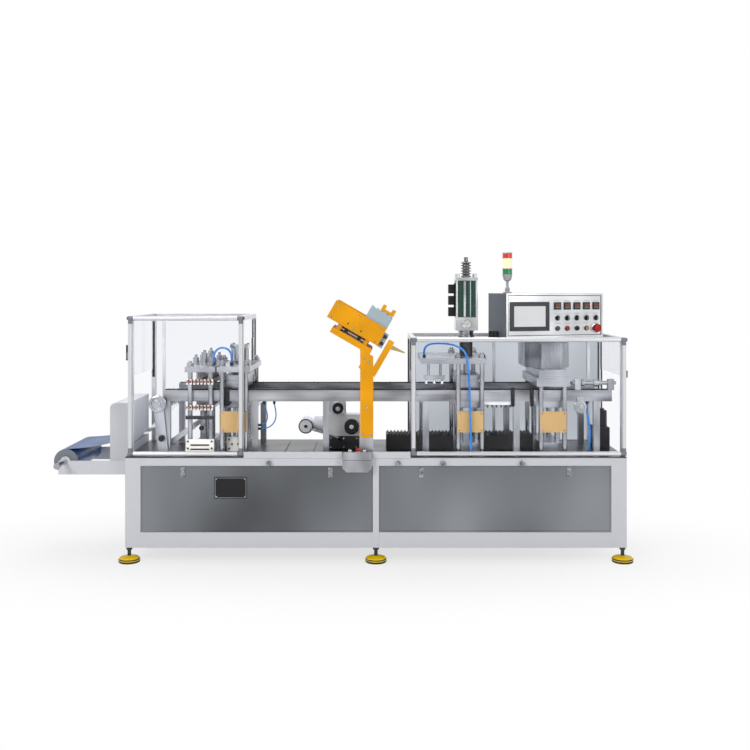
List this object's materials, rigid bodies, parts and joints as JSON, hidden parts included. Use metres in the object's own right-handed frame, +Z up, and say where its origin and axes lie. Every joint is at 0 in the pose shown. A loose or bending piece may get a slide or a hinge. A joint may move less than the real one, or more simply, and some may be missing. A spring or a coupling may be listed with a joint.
{
  "type": "blister packing machine",
  "caption": "Blister card packing machine: film unwinder, clear guard housings over heating, forming, sealing and cutting stations, tilted card magazine and control box.",
  "frame": {"origin": "floor level under the middle of the whole machine, film roll included", "axes": "+X along the film, +Y from the operator's side to the back, +Z up"},
  "size_m": [3.8029, 0.8958, 2.0315],
  "materials": {
    "white_paint": "satin paint",
    "brushed_sheet": "brushed stainless",
    "bright_metal": "polished",
    "aluminium_profile": "anodised",
    "machined_plate": "machined",
    "grey_moulding": "moulded",
    "clear_sheet": "clear acrylic",
    "dark_metal": "blackened",
    "yellow_pad": "moulded",
    "ceramic": "glazed",
    "green_body": "anodised",
    "black_plastic": "moulded",
    "cream_plate": "satin",
    "orange_paint": "gloss paint",
    "card_stock": "coated board",
    "brass_chute": "polished",
    "white_casting": "satin",
    "black_rubber": "folded",
    "dark_bezel": "moulded",
    "lamp_lens": "lit lens",
    "blue_film": "film",
    "blue_hose": "tube"
  },
  "bodies": {
    "machine": {"frame_posts": "white_paint", "frame_rails": "white_paint", "side_panels": "brushed_sheet", "end_panels": "white_paint", "panel_hardware": "bright_metal", "table_plate": "brushed_sheet", "foot_stems": "dark_metal", "foot_pads": "yellow_pad", "housing_posts": "aluminium_profile", "housing_beams": "aluminium_profile", "housing_panes": "clear_sheet", "guard_hinges": "dark_metal", "film_rails": "aluminium_profile", "uprights": "brushed_sheet", "press_columns": "bright_metal", "crossheads": "machined_plate", "lower_tools": "machined_plate", "heater_plates": "dark_metal", "heater_standoffs": "ceramic", "heat_cylinders": "bright_metal", "form_cylinder": "bright_metal", "seal_neck": "dark_metal", "seal_booster": "green_body", "seal_tie_frame": "machined_plate", "seal_stack": "dark_metal", "seal_valves": "black_plastic", "cut_cover": "brushed_sheet", "station_plates": "cream_plate", "mag_column": "orange_paint", "mag_board": "orange_paint", "mag_sides": "orange_paint", "mag_cards": "card_stock", "mag_clamp": "orange_paint", "mag_chute": "brass_chute", "drive_gearbox": "white_casting", "drive_wheels": "black_plastic", "bellows": "black_rubber", "outfeed_motor": "black_plastic", "control_box": "brushed_sheet", "control_screen": "dark_bezel", "control_switches": "black_plastic", "tower_stem": "grey_moulding", "tower_lamps": "lamp_lens", "unwinder_arms": "white_paint", "infeed_cover": "white_paint", "rollers_and_rods": "bright_metal", "hose_form": "blue_hose", "hose_seal": "blue_hose", "hose_out": "blue_hose", "black_trim": "black_plastic"},
    "left_guard": {"left_guard_tubes": "aluminium_profile", "left_guard_corners": "grey_moulding", "left_guard_pane": "clear_sheet"},
    "right_guard": {"right_guard_tubes": "aluminium_profile", "right_guard_corners": "grey_moulding", "right_guard_pane": "clear_sheet"},
    "form_press": {"form_platen": "machined_plate"},
    "seal_press": {"seal_platen": "machined_plate"},
    "reel": {"reel_shaft": "bright_metal", "film_roll": "blue_film"}
  },
  "joints": [
    {"name": "left_guard_hinge", "type": "hinge", "parent": "machine", "child": "left_guard", "pos_m": [-1.0165, -0.34, 1.591], "axis": [-1, 0, 0], "range_deg": [0, 100]},
    {"name": "right_guard_hinge", "type": "hinge", "parent": "machine", "child": "right_guard", "pos_m": [1.1535, -0.34, 1.451], "axis": [-1, 0, 0], "range_deg": [0, 100]},
    {"name": "form_press_slide", "type": "slide", "parent": "machine", "child": "form_press", "axis": [0, 0, -1], "range_m": [0, 0.04]},
    {"name": "seal_press_slide", "type": "slide", "parent": "machine", "child": "seal_press", "axis": [0, 0, -1], "range_m": [0, 0.04]},
    {"name": "reel_spin", "type": "hinge", "parent": "machine", "child": "reel", "pos_m": [-1.8215, 0.03, 0.645], "axis": [0, 1, 0], "continuous": true}
  ]
}
